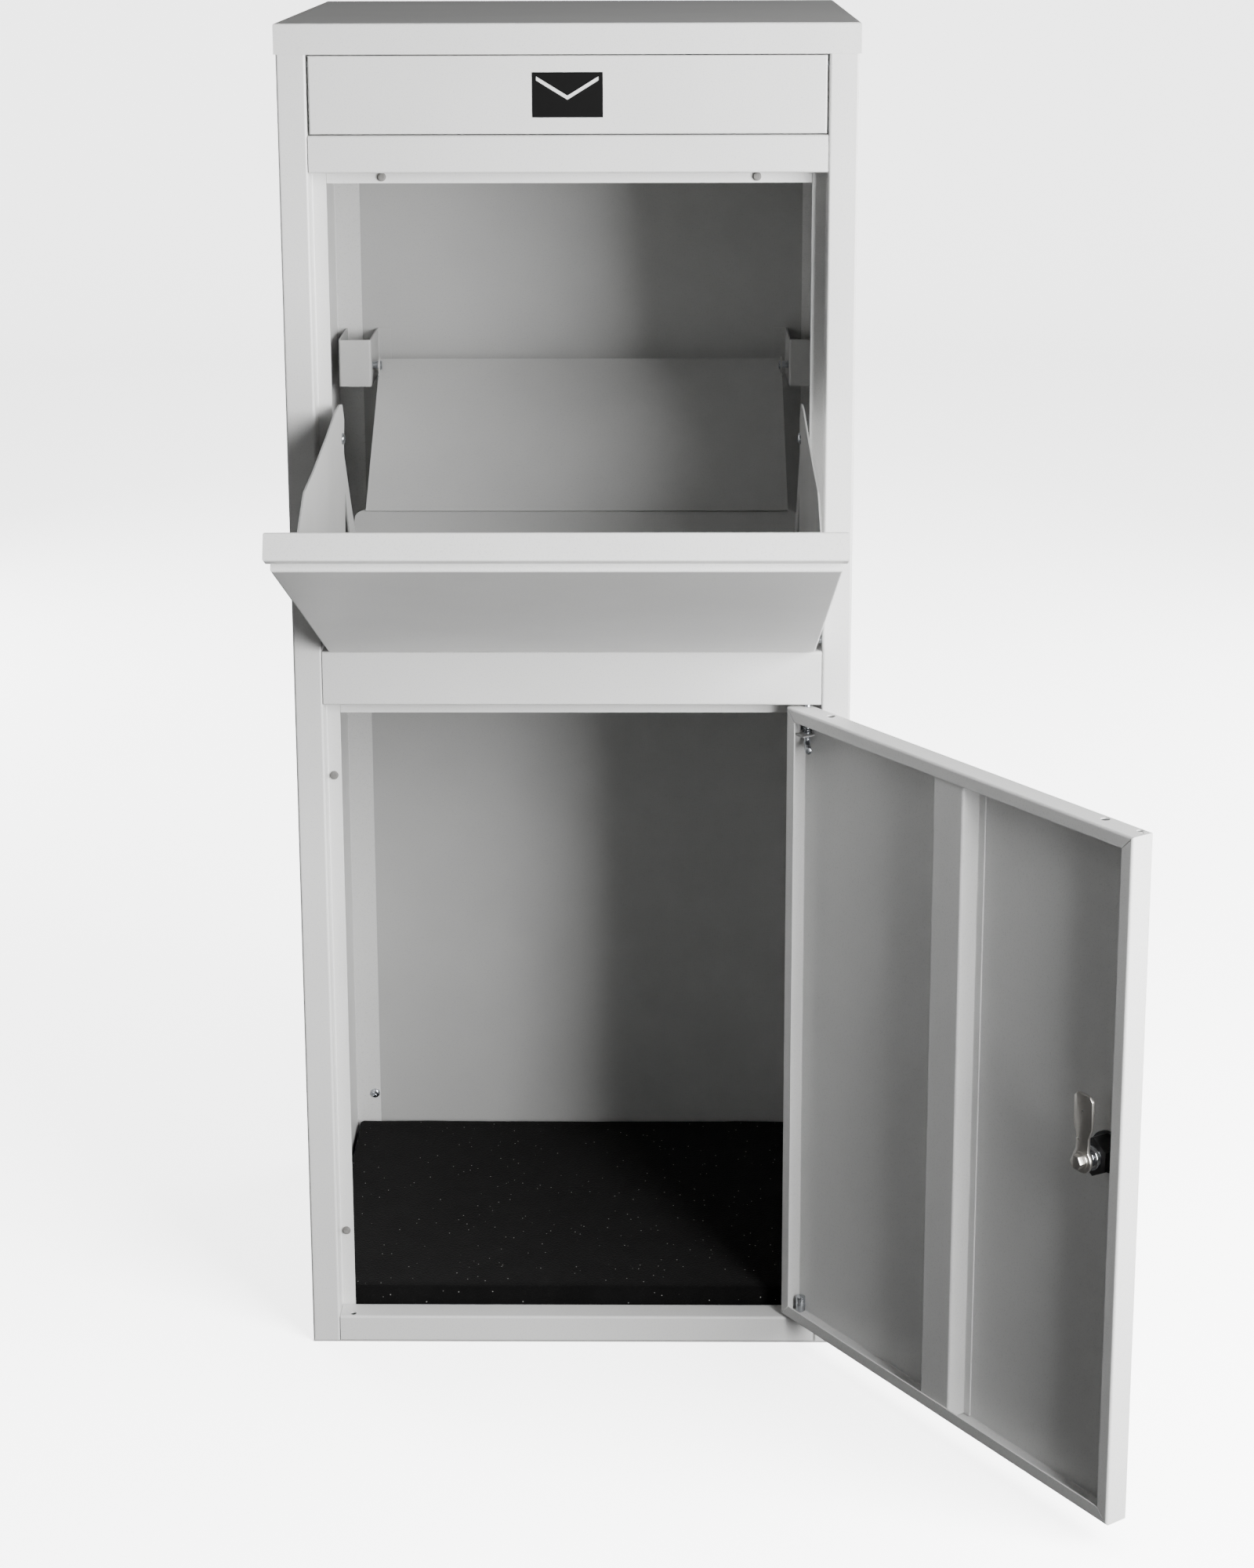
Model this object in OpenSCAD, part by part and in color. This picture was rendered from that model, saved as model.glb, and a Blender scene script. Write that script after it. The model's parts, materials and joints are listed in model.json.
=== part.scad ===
// Parcel drop box for letters and parcels: a letter flap at the top, a tilting
// parcel hopper below it and a lockable pick-up door at the bottom.
// Folded sheet steel. X runs across the front, Y from front to back, Z up.
// The origin is the centre of the cabinet's underside. The hopper and the door
// are drawn closed, in their own modules, and swung open by their rest angles.

/* [Cabinet] */
// Width of the body over its side panels
body_w = 428; // [360:1:540]
// Depth of the body, from its front plane to the back of its back panel
body_d = 358; // [310:1:480]
// Thickness of all sheet steel
sheet = 1.2; // [1:0.1:1.5]
// Inner radius of a fold
fold_r = 0.8; // [0.5:0.1:1.2]
// Width of the jamb face beside the openings
jamb_w = 22; // [18:1:30]
// Depth of the rebate that the door and the flap close into
rebate_d = 22; // [21:0.5:27]
// Width of the stop lip along each jamb
side_lip = 10.6; // [8:0.2:13]
// Width of the flanges that carry the back panel
rear_flange = 23; // [16:1:30]

/* [Heights] */
// Height of the bottom rail
bottom_rail_h = 22.2; // [18:0.2:30]
// Height of the door opening
door_opening_h = 515; // [400:1:640]
// Height of the rail between door and parcel flap
middle_rail_h = 42.8; // [34:0.2:54]
// Height of the parcel opening
parcel_opening_h = 365.7; // [330:0.1:440]
// Height of the rail below the letter flap
letter_rail_h = 27.7; // [22:0.1:36]
// Height of the letter opening
letter_opening_h = 59.1; // [48:0.1:75]
// Height of the roof cap's skirt
cap_skirt_h = 22.5; // [18:0.5:30]

/* [Parcel flap] */
// Angle of the open flap from upright
flap_open = 66; // [60:1:70]
// How far the flap's outer sheet stands in front of the cabinet
flap_proud = 5; // [3:0.5:7]
// Height of the grip rail along the flap's top edge
grip_rail_h = 10; // [8:0.5:14]
// Side gap between the flap's outer sheet and each jamb
flap_side_gap = 5.5; // [4:0.5:9]
// Distance of the flap's hinge axis above the middle rail
flap_axis_up = 8; // [8:0.5:12]
// Distance of the flap's hinge axis behind the front plane
flap_axis_in = 5; // [5:0.5:7]
// Length of the hopper floor behind its fold
hopper_floor_len = 164.5; // [130:0.5:175]
// Slope of the hopper floor below level, with the flap closed
hopper_floor_slope = 49; // [44:1:54]

/* [Guard plate] */
// Distance of the guard's pivot in front of the cabinet's back
guard_pivot_back = 58; // [50:1:70]
// Height of the guard's pivot above the flap's hinge axis
guard_pivot_up = 164; // [150:1:190]
// Overlap of the guard's lower edge with the hopper floor it lies on
guard_lap = 4.2; // [2:0.2:8]
// Distance of the guard's sheet behind its pivots, when it hangs
guard_set = 4.6; // [4.4:0.1:6]
// Gap between the guard's side edges and the stop lips' edges
guard_side = 9.4; // [6:0.2:30]

/* [Door] */
// Angle of the open door
door_open = 125; // [90:1:125]
// Depth of the door pan
door_t = 19.5; // [18:0.5:20]
// Running gap round the door
door_gap = 2; // [1.5:0.1:3]
// Width of the door's inner return lips
door_lip = 10; // [8:0.5:14]
// Distance of the door's hinge axis from the jamb
door_axis_side = 10.5; // [10:0.1:12]
// Distance of the door's hinge axis behind the front plane
door_axis_in = 5; // [4.6:0.1:5]
// Radius of the hinge pins
pin_r = 2.5; // [2:0.1:2.6]
// Width of the raised face of the door's stiffener
stiffener_w = 33; // [24:1:50]
// Height of the lock's axis above the ground
lock_z = 294; // [200:1:400]
// Distance of the lock's axis from the door's free edge
lock_in = 29.5; // [26:0.5:40]
// Length of the cam from the lock's axis to its tip
cam_len = 49; // [42:1:50]

/* [Mat and anchors] */
// Thickness of the foam mat
mat_t = 35; // [10:1:45]
// Spacing of the floor anchor holes across the cabinet
anchor_x = 340; // [240:1:344]
// Spacing of the floor anchor holes from front to back
anchor_y = 260; // [180:1:270]
// Radius of the floor anchor holes
anchor_r = 5; // [4:0.5:7]

/* [Hidden] */
$fn = 48;
running = 0.05;            // radial clearance of a turning pin
seam = 0.3;                // gap along a seam between two folded sheets
shut = 0.3;                // gap left to a rubber buffer
mitre_gap = 0.4;           // slit between two lips at a pan's corner
guard_rest = 0.4;          // gap left between the guard and the hopper floor
skirt = sheet;             // the cap's sheet stands outside the body
z_door = bottom_rail_h;
z_mid = z_door + door_opening_h;
z_parcel = z_mid + middle_rail_h;
z_rail = z_parcel + parcel_opening_h;
z_letter = z_rail + letter_rail_h;
z_cap = z_letter + letter_opening_h;
total_h = z_cap + cap_skirt_h;
open_hw = body_w / 2 - jamb_w;          // half the clear width between jambs
clear_hw = open_hw - side_lip;          // half the clear width between lips
lip_back = rebate_d + sheet;
inner_hw = body_w / 2 - sheet;
back_in = body_d - sheet;               // front face of the back panel
flange_in = back_in - sheet;            // front face of the rear flanges
rail_return = 12;
mid_lip = 12;
letter_lip = 9.5;
buffer_t = rebate_d - door_t - shut;

flap_hw = open_hw - flap_side_gap;
grip_hw = open_hw - 1.5;
flap_back = door_t;
flap_lip = 8;
flap_ax = [flap_axis_in, z_parcel + flap_axis_up];
pan_z0 = flap_ax[1] + 4;                // underside of the flap's outer pan
pan_z1 = z_rail - door_gap - grip_rail_h;
wing_in = clear_hw - 6.4;               // inner face of each side wing
floor_hw = clear_hw - 1.4;
floor_fold = [lip_back + 0.8, pan_z0 - sheet / 2];
floor_dir = [cos(hopper_floor_slope), -sin(hopper_floor_slope)];
floor_end = floor_fold + hopper_floor_len * floor_dir;
stop_r = 4.5;
stop_out = open_hw - 4;
stop_up = 152.8;
stop_open = [lip_back + stop_r + shut, flap_ax[1] + stop_up];
stop_shut = turned(stop_open, flap_ax, -flap_open);

guard_half_w = clear_hw - guard_side;
guard_ax = [body_d - guard_pivot_back, flap_ax[1] + guard_pivot_up];
floor_end_open = turned(floor_end, flap_ax, flap_open);
floor_rise = flap_open - hopper_floor_slope;
floor_up = [-sin(floor_rise), cos(floor_rise)];
guard_len = norm(guard_ax - floor_end_open) + guard_lap;
guard_height = (guard_ax - floor_end_open) * floor_up - sheet / 2 - guard_rest;
guard_edge = guard_set + sheet / 2;     // its back lower edge comes nearest to the floor
guard_open = atan2(guard_edge, guard_len) + acos(guard_height / norm([guard_len, guard_edge]))
    - floor_rise;
bracket_in = guard_half_w + 5.5;
bracket_w = 27.5;
bracket_h = 40;
bracket_y = guard_ax[0] - 10;
bracket_z = guard_ax[1] - 17;

letter_hw = open_hw - 1.5;
letter_z0 = z_letter + 1;
letter_z1 = z_cap - 1;
letter_t = 12;
letter_ax = [6.5, z_cap - 7.5];
rod_r = 3;

door_hw = open_hw - 2.5;
door_z0 = z_door + door_gap;
door_z1 = z_mid - door_gap;
door_r = 2;
hinge_x = open_hw - door_axis_side;
lock_x = -door_hw + lock_in;
barrel_r = 9;
plug_r = 6;
cam_y = door_t + 6;
cam_t = 2.5;
tab_z = door_z1 - 23;

function unit(v) = v / norm(v);
function heading(v) = atan2(v[1], v[0]);
// Point p turned about c by a degrees, as Y and Z
function turned(p, c, a) = c + [
    (p[0] - c[0]) * cos(a) - (p[1] - c[1]) * sin(a),
    (p[0] - c[0]) * sin(a) + (p[1] - c[1]) * cos(a)
];
// Turn of a path at its point i, from -180 to 180 degrees
function turn(p, i) =
    let (a = heading(p[i + 1] - p[i]) - heading(p[i] - p[i - 1]))
    a > 180 ? a - 360 : a < -180 ? a + 360 : a;
// Length that the fold at point i takes off its two legs
function setback(p, i) =
    i == 0 || i == len(p) - 1 ? 0 : (fold_r + sheet / 2) * tan(abs(turn(p, i)) / 2);

// Section of a sheet folded along the middle line p
module folded(p) {
    for (i = [0:len(p) - 2]) {
        dir = unit(p[i + 1] - p[i]);
        from = p[i] + dir * setback(p, i);
        to = p[i + 1] - dir * setback(p, i + 1);
        translate(from) rotate(heading(dir)) translate([0, -sheet / 2])
            square([norm(to - from), sheet]);
    }
    for (i = [1:len(p) - 2]) fold(p, i);
}

// Section of the round fold at point i of the middle line p
module fold(p, i) {
    dir = unit(p[i] - p[i - 1]);
    side = sign(turn(p, i));
    mid_r = fold_r + sheet / 2;
    far = 2 * (mid_r + sheet);
    start = heading(dir) - 90 * side;
    centre = p[i] - dir * setback(p, i) + side * mid_r * [-dir[1], dir[0]];
    translate(centre) intersection() {
        difference() {
            circle(fold_r + sheet);
            circle(fold_r);
        }
        polygon([[0, 0], for (k = [0:2]) far * [
            cos(start + turn(p, i) * k / 2), sin(start + turn(p, i) * k / 2)]]);
    }
}

// Section of a sheet bent sharply along the middle line p
module creased(p) {
    last = len(p) - 1;
    function side(i) =
        let (
            dir = unit(i == 0 ? p[1] - p[0] : p[i] - p[i - 1]),
            bend = i == 0 || i == last ? 0 : turn(p, i) / 2,
            a = heading(dir) + 90 + bend
        )
        sheet / 2 / cos(bend) * [cos(a), sin(a)];
    polygon(concat([for (i = [0:last]) p[i] + side(i)], [for (i = [last:-1:0]) p[i] - side(i)]));
}

// Rectangle from a to b with round corners
module rounded(a, b, r) {
    translate(a + [r, 0]) square(b - a - [2 * r, 0]);
    translate(a + [0, r]) square(b - a - [0, 2 * r]);
    for (x = [a[0] + r, b[0] - r], y = [a[1] + r, b[1] - r]) translate([x, y]) circle(r);
}

// A section in Y and Z, drawn along X from x0 to x1
module along_x(x0, x1) {
    translate([x0, 0, 0]) rotate([90, 0, 90]) linear_extrude(x1 - x0) children();
}

// A section in X and Z, drawn along Y from y0 to y1
module along_y(y0, y1) {
    translate([0, y1, 0]) rotate([90, 0, 0]) linear_extrude(y1 - y0) children();
}

// A section in X and Y, drawn along Z from z0 to z1
module along_z(z0, z1) {
    translate([0, 0, z0]) linear_extrude(z1 - z0) children();
}

// A block from a to b whose edges along X and along Z are round
module soft_block(a, b, r) {
    intersection() {
        along_x(a[0], b[0]) rounded([a[1], a[2]], [b[1], b[2]], r);
        along_z(a[2], b[2]) rounded([a[0], a[1]], [b[0], b[1]], r);
    }
}

// A sheet pan from a to b, open at its back inside a lip with mitred corners
module pan(a, b, r, lip) {
    wall = [sheet, sheet, sheet];
    difference() {
        soft_block(a, b, r);
        soft_block(a + wall, b - wall, max(r - sheet, 0.2));
        translate([a[0] + lip, b[1] - 2 * sheet, a[2] + lip])
            cube([b[0] - a[0] - 2 * lip, 3 * sheet, b[2] - a[2] - 2 * lip]);
        for (side = [-1, 1], end = [-1, 1])
            mitre([side < 0 ? a[0] : b[0], end < 0 ? a[2] : b[2]], [-side, -end], b[1], lip);
    }
}

// Slit through two lips where they meet, inwards from the corner at [x, z]
module mitre(corner, inwards, y, lip) {
    outer = corner + 1.4 * sheet * inwards;
    inner = corner + (lip + 1) * inwards;
    side = mitre_gap / 2 * [inwards[0], -inwards[1]];
    along_y(y - sheet - 0.1, y + 0.1)
        polygon([outer + side, inner + side, inner - side, outer - side]);
}

// A round rod along X, from x0 to x1 at [y, z]
module rod_x(x0, x1, at, r) {
    translate([x0, at[0], at[1]]) rotate([0, 90, 0]) cylinder(h = x1 - x0, r = r);
}

// A round rod along Y, from y0 to y1 at [x, z]
module rod_y(y0, y1, at, r) {
    translate([at[0], y0, at[1]]) rotate([-90, 0, 0]) cylinder(h = y1 - y0, r = r);
}

// A round rod along Z, from z0 to z1 at [x, y]
module rod_z(z0, z1, at, r) {
    translate([at[0], at[1], z0]) cylinder(h = z1 - z0, r = r);
}

// Places the cabinet: front plane at minus half the depth
module placed() {
    translate([0, -body_d / 2, 0]) children();
}

module swung_flap() {
    placed() translate([0, flap_ax[0], flap_ax[1]]) rotate([flap_open, 0, 0])
        translate([0, -flap_ax[0], -flap_ax[1]]) children();
}

module swung_guard() {
    placed() translate([0, guard_ax[0], guard_ax[1]]) rotate([-guard_open, 0, 0]) children();
}

module swung_door() {
    placed() translate([hinge_x, door_axis_in, 0]) rotate([0, 0, door_open])
        translate([-hinge_x, -door_axis_in, 0]) children();
}

module both_sides() {
    children();
    mirror([1, 0, 0]) children();
}

// ---- Cabinet ----

// Right-hand side panel: side, jamb, rebate wall, stop lip and rear flange
module side_panel() {
    rebate_x = open_hw + sheet / 2;
    wall_x = body_w / 2 - sheet / 2;
    difference() {
        along_z(sheet, total_h - sheet) folded([
            [clear_hw, rebate_d + sheet / 2],
            [rebate_x, rebate_d + sheet / 2],
            [rebate_x, sheet / 2],
            [wall_x, sheet / 2],
            [wall_x, back_in - sheet / 2],
            [body_w / 2 - rear_flange, back_in - sheet / 2]
        ]);
        rod_x(open_hw - 1, open_hw + 2 * sheet, flap_ax, pin_r + running);
        rod_x(open_hw - 1, open_hw + 2 * sheet, letter_ax, rod_r + running);
        translate([clear_hw - 1, rebate_d - 2, z_letter])
            cube([side_lip + 1, 4, total_h - z_letter]);
    }
}

module left_side_panel() {
    color("gainsboro") placed() mirror([1, 0, 0]) side_panel();
}

module right_side_panel() {
    color("gainsboro") placed() side_panel();
}

module back_panel() {
    color("gainsboro") placed() along_y(back_in, body_d)
        translate([-body_w / 2, sheet]) square([body_w, total_h - 2 * sheet]);
}

module top_cap() {
    low = [-body_w / 2 - skirt, -skirt, z_cap];
    high = [body_w / 2 + skirt, body_d + skirt, total_h];
    color("gainsboro") placed() difference() {
        intersection() {
            along_x(low[0], high[0]) rounded([low[1], low[2] - 4], [high[1], high[2]], 1.6);
            along_y(low[1], high[1]) rounded([low[0], low[2] - 4], [high[0], high[2]], 1.6);
            translate(low) cube(high - low);
        }
        translate([-body_w / 2, 0, z_cap - 1]) cube([body_w, body_d, cap_skirt_h + 1 - sheet]);
    }
}

module base_tray() {
    flange_h = 14;
    hw = inner_hw - seam;
    y0 = lip_back + seam;
    y1 = flange_in - seam;
    color("gainsboro") placed() difference() {
        union() {
            translate([-body_w / 2, 0, 0]) cube([body_w, body_d, sheet]);
            difference() {
                translate([-hw, y0, sheet]) cube([2 * hw, y1 - y0, flange_h]);
                translate([-hw + sheet, y0 + sheet, 0])
                    cube([2 * (hw - sheet), y1 - y0 - 2 * sheet, 2 * flange_h]);
            }
        }
        for (x = [-anchor_x / 2, anchor_x / 2], y = [-anchor_y / 2, anchor_y / 2])
            rod_z(-1, 2 * sheet, [x, body_d / 2 + y], anchor_r);
    }
}

module bottom_rail() {
    back = rebate_d - seam - sheet / 2;
    color("gainsboro") placed() difference() {
        along_x(-open_hw + seam, open_hw - seam) folded([
            [sheet / 2, sheet + seam],
            [sheet / 2, z_door - sheet / 2],
            [back, z_door - sheet / 2],
            [back, sheet + seam]
        ]);
        both_sides() rod_z(z_door - 2 * sheet, z_door + 1, [hinge_x, door_axis_in], pin_r + running);
    }
}

// Front rail from z0 to z1, with a stop lip below and a return above
module front_rail(z0, z1, lip) {
    back = rebate_d - seam - sheet / 2;
    web = [[sheet / 2, z0 + sheet / 2], [sheet / 2, z1 - sheet / 2]];
    top = [[back, z1 - sheet / 2], [back, z1 - rail_return]];
    along_x(-open_hw + seam, open_hw - seam)
        folded(concat([[back, z0 + sheet / 2]], web, top));
    along_x(-clear_hw + seam, clear_hw - seam)
        folded(concat([[rebate_d + sheet / 2, z0 - lip], [rebate_d + sheet / 2, z0 + sheet / 2]],
                      web, top));
}

module middle_rail() {
    color("gainsboro") placed() difference() {
        front_rail(z_mid, z_parcel, mid_lip);
        both_sides() rod_z(z_mid - 1, z_mid + 2 * sheet, [hinge_x, door_axis_in], pin_r + running);
    }
}

module letter_rail() {
    color("gainsboro") placed() front_rail(z_rail, z_letter, letter_lip);
}

module floor_mat() {
    edge = 2;
    hw = inner_hw - 2 * sheet - 1;
    y0 = lip_back + 2 * sheet + 1;
    y1 = flange_in - 2 * sheet - 1;
    color("dimgray") placed() intersection() {
        soft_block([-hw, y0, sheet], [hw, y1, sheet + mat_t], edge);
        along_y(y0, y1) rounded([-hw, sheet], [hw, sheet + mat_t], edge);
    }
}

// Rubber buffer on a stop lip, at [x, z]
module buffer(at, r) {
    rod_y(rebate_d - buffer_t / 2, rebate_d, at, r);
    rod_y(rebate_d - buffer_t, rebate_d - buffer_t / 2, at, r - 0.8);
}

module door_buffers() {
    x = -(open_hw + clear_hw) / 2 - 0.6;
    color("gray") placed() {
        buffer([x, z_door + 65], 3.4);
        buffer([x, z_mid - 63], 3.4);
    }
}

module flap_buffers() {
    color("gray") placed() for (x = [-140, 140]) buffer([x, z_rail - letter_lip / 2], 3.4);
}

module dome_screw_y(at, y) {
    translate([at[0], y, at[1]]) rotate([90, 0, 0]) rotate_extrude() intersection() {
        translate([0, -2.4]) circle(5);
        square([5, 3]);
    }
}

module back_panel_screws() {
    x = body_w / 2 - rear_flange + 5;
    color("silver") placed() for (sx = [-x, x], z = [60, z_letter + 25]) {
        dome_screw_y([sx, z], flange_in);
    }
}

// Right-hand bracket that carries the guard's pivot pin
module guard_bracket() {
    x1 = bracket_in + bracket_w;
    mid = sheet / 2;
    difference() {
        union() {
            along_z(bracket_z, bracket_z + bracket_h) folded([
                [bracket_in - 11, back_in - mid],
                [bracket_in + mid, back_in - mid],
                [bracket_in + mid, bracket_y + mid],
                [x1 - mid, bracket_y + mid],
                [x1 - mid, flange_in - seam]
            ]);
        }
        rod_x(bracket_in - 1, bracket_in + 2 * sheet, guard_ax, rod_r + running);
    }
}

module left_guard_bracket() {
    color("darkgray") placed() mirror([1, 0, 0]) guard_bracket();
}

module right_guard_bracket() {
    color("darkgray") placed() guard_bracket();
}

// ---- Letter flap ----

module letter_flap() {
    color("gainsboro") placed() difference() {
        pan([-letter_hw, 0, letter_z0], [letter_hw, letter_t, letter_z1], 1.2, 7);
        rod_x(-open_hw, open_hw, letter_ax, rod_r);
    }
}

module letter_flap_rod() {
    color("silver") placed() rod_x(-open_hw - 3, open_hw + 3, letter_ax, rod_r);
}

// Close-wound torsion spring on the rod, with one leg on the flap
module letter_flap_spring() {
    x0 = -letter_hw + 12;
    wire = 1;
    coil_w = 16;
    leg = 22;
    color("silver") placed() {
        difference() {
            rod_x(x0, x0 + coil_w, letter_ax, rod_r + 0.2 + wire);
            rod_x(x0 - 1, x0 + coil_w + 1, letter_ax, rod_r + 0.2);
        }
        translate([x0 + coil_w - wire, letter_ax[0] - rod_r - 0.2 - wire, letter_ax[1] - leg])
            cube([wire, wire, leg]);
    }
}

// Solid envelope whose flap is marked by a fine line
module envelope_symbol() {
    size = [52, 33];
    line = 2.4;
    tip = -3;
    inset = 3;
    cz = (letter_z0 + letter_z1) / 2;
    color("black") placed() along_y(-0.3, 0) translate([0, cz]) difference() {
        square(size, center = true);
        for (side = [-1, 1]) {
            foot = [side * (size[0] / 2 - inset), size[1] / 2 - inset];
            polygon([foot, [0, tip + line], [0, tip - line / 4], foot - [0, 1.25 * line]]);
        }
    }
}

// ---- Parcel flap and hopper ----

module flap_pan() {
    ear_r = 6.5;
    color("gainsboro") swung_flap() difference() {
        union() {
            pan([-flap_hw, -flap_proud, pan_z0], [flap_hw, flap_back, pan_z1], 1.6, flap_lip);
            both_sides() along_x(flap_hw - sheet, flap_hw) {
                translate(flap_ax) circle(ear_r);
                translate([flap_ax[0] - ear_r, flap_ax[1]]) square([2 * ear_r, 12]);
            }
        }
        rod_x(-open_hw, open_hw, flap_ax, pin_r);
    }
}

module flap_grip_rail() {
    low = [-grip_hw, shut, pan_z1];
    high = [grip_hw, flap_back, pan_z1 + grip_rail_h];
    color("whitesmoke") swung_flap() difference() {
        soft_block(low - [0, 0, 4], high, 1.6);
        translate(low - [1, 1, 5]) cube([2 * grip_hw + 2, flap_back + 2, 5]);
        translate(low + [sheet, sheet, -1])
            cube([2 * (grip_hw - sheet), flap_back - shut - 2 * sheet, grip_rail_h + 1 - sheet]);
    }
}

// Right-hand wing of the hopper, in the closed flap's frame
module wing() {
    y0 = -flap_proud + sheet;
    base = pan_z0 + sheet;
    skin = 0.6 * sheet / cos(hopper_floor_slope);
    // A point over the hopper floor, at distance s behind its fold
    function on_floor(s) = floor_fold + s * floor_dir + [0, skin];
    along_x(wing_in, wing_in + sheet) difference() {
        polygon([
            [y0 + fold_r, base],
            [y0, base + fold_r],
            [y0, base + 303],
            [28, base + 290],
            [46, base + 276],
            [65, base + 260],
            [90, base + 211],
            [128, base + 143],
            [stop_shut[0] + 10, stop_shut[1] + 46],
            [stop_shut[0] + 22, stop_shut[1] + 20],
            [stop_shut[0] + 26, stop_shut[1] + 4],
            [stop_shut[0] + 18, stop_shut[1] - 11],
            [stop_shut[0] - 8, stop_shut[1] - 14],
            [stop_shut[0] - 38, stop_shut[1] - 78],
            on_floor(hopper_floor_len - 50),
            on_floor(hopper_floor_len - 86),
            [stop_shut[0] - 36, stop_shut[1] - 29],
            on_floor(16),
            on_floor(0) + [0, 0.6],
            [flap_back + 1, base]
        ]);
        translate([flap_back - sheet, pan_z0]) square([sheet, flap_lip]);
    }
}

module left_wing() {
    color("darkgray") swung_flap() mirror([1, 0, 0]) difference() {
        wing();
        rod_x(wing_in - 1, wing_in + 2 * sheet, stop_shut, pin_r);
    }
}

module right_wing() {
    color("darkgray") swung_flap() difference() {
        wing();
        rod_x(wing_in - 1, wing_in + 2 * sheet, stop_shut, pin_r);
    }
}

// Floor of the hopper: its front strip lies under the flap's pan
module hopper_floor() {
    corner = 12;
    color("darkgray") swung_flap() difference() {
        along_x(-floor_hw, floor_hw) creased([[0, floor_fold[1]], floor_fold, floor_end]);
        both_sides() translate([floor_hw, floor_end[0], floor_end[1]])
            rotate([-hopper_floor_slope, 0, 0]) translate([-corner, -corner, -sheet])
                linear_extrude(2 * sheet) difference() {
                    square(corner + 1);
                    circle(corner);
                }
    }
}

module stop_screws() {
    color("silver") swung_flap() both_sides() {
        rod_x(wing_in, stop_out, stop_shut, pin_r);
        translate([wing_in, stop_shut[0], stop_shut[1]]) rotate([0, -90, 0])
            rotate_extrude() intersection() {
                translate([0, -2.4]) circle(5);
                square([5, 3]);
            }
    }
}

module stop_sleeves() {
    color("dimgray") swung_flap() both_sides() difference() {
        rod_x(wing_in + sheet, stop_out - 1, stop_shut, stop_r);
        rod_x(wing_in, stop_out + 1, stop_shut, pin_r);
    }
}

module flap_hinge_pins() {
    color("silver") swung_flap() both_sides() {
        rod_x(flap_hw - sheet - 1.5, flap_hw - sheet, flap_ax, pin_r + 1.5);
        rod_x(flap_hw - sheet, open_hw + 3, flap_ax, pin_r);
    }
}

// ---- Guard plate behind the hopper ----

// Plate with an ear for a pin on each side
module guard_plate() {
    top = 12;
    ear_h = 20;
    ear_r = 6.5;
    plate_y = guard_set - sheet / 2;
    color("darkgray") swung_guard() {
        translate([-guard_half_w, plate_y, -guard_len])
            cube([2 * guard_half_w, sheet, guard_len + top]);
        both_sides() along_x(guard_half_w - sheet, guard_half_w) difference() {
            union() {
                circle(ear_r);
                translate([0, -ear_r]) square([plate_y, 2 * ear_r]);
                translate([plate_y - sheet, -ear_h / 2]) square([sheet, ear_h]);
            }
            circle(rod_r);
        }
    }
}

module guard_pins() {
    color("silver") swung_guard() both_sides() {
        rod_x(guard_half_w - sheet - 1.5, guard_half_w - sheet, [0, 0], rod_r + 0.8);
        rod_x(guard_half_w - sheet, bracket_in + 3, [0, 0], rod_r);
    }
}

// ---- Door ----

module door_pan() {
    color("gainsboro") swung_door() difference() {
        pan([-door_hw, 0, door_z0], [door_hw, door_t, door_z1], door_r, door_lip);
        both_sides() rod_z(door_z1 - 3, door_z1 + 1, [hinge_x, door_axis_in], pin_r + running);
        both_sides() rod_z(door_z0 - 1, door_z0 + 3, [hinge_x, door_axis_in], pin_r);
        both_sides() rod_z(door_z1 - 3, door_z1 + 1, [hinge_x - 31.6, door_axis_in + 2], 3.4);
        rod_z(door_z1 - 3, door_z1 + 1, [-door_hw + 4, door_axis_in + 2], 1.3);
        rod_y(-1, 3, [lock_x, lock_z], barrel_r);
    }
}

module door_stiffener() {
    flange = 7;
    face = door_t - sheet - seam - sheet / 2;
    root = 1.5 * sheet;
    half = stiffener_w / 2 - sheet / 2;
    color("gainsboro") swung_door()
        along_z(door_z0 + sheet + fold_r, door_z1 - sheet - fold_r) folded([
            [-half - flange, root],
            [-half, root],
            [-half, face],
            [half, face],
            [half, root],
            [half + flange, root]
        ]);
}

// Angle bracket in the door's top corner that guides the spring pin
module upper_hinge_bracket() {
    x0 = hinge_x - 5.5;
    x1 = door_hw - sheet;
    y0 = sheet + fold_r;
    color("gainsboro") swung_door() difference() {
        along_y(y0, y0 + 11) folded([
            [x0, tab_z + sheet / 2],
            [x1 - sheet / 2, tab_z + sheet / 2],
            [x1 - sheet / 2, door_z1 - sheet - fold_r]
        ]);
        rod_z(tab_z - 1, tab_z + 2 * sheet, [hinge_x, door_axis_in], pin_r + running);
    }
}

module hinge_pin_spring() {
    color("silver") swung_door() difference() {
        rod_z(tab_z + sheet, tab_z + 15, [hinge_x, door_axis_in], pin_r + 1.2);
        rod_z(tab_z, tab_z + 16, [hinge_x, door_axis_in], pin_r + 0.3);
    }
}

// Spring pin with a bent handle, drawn in its raised place
module upper_hinge_pin() {
    at = [hinge_x, door_axis_in];
    handle = 20;
    z0 = tab_z - 10;
    color("silver") swung_door() {
        rod_z(z0, z_mid + 4, at, pin_r);
        rod_z(tab_z + 15, tab_z + 16.5, at, pin_r + 1.2);
        translate([at[0], at[1], z0 + pin_r]) rotate([0, 90, 145])
            cylinder(h = handle, r = pin_r - 0.2);
    }
}

module lower_hinge_pin() {
    at = [hinge_x, door_axis_in];
    color("silver") swung_door() {
        rod_z(z_door - 8, door_z0 + sheet + fold_r, at, pin_r);
        rod_z(door_z0 + sheet + fold_r, door_z0 + 14, at, pin_r + 1.2);
    }
}

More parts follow.
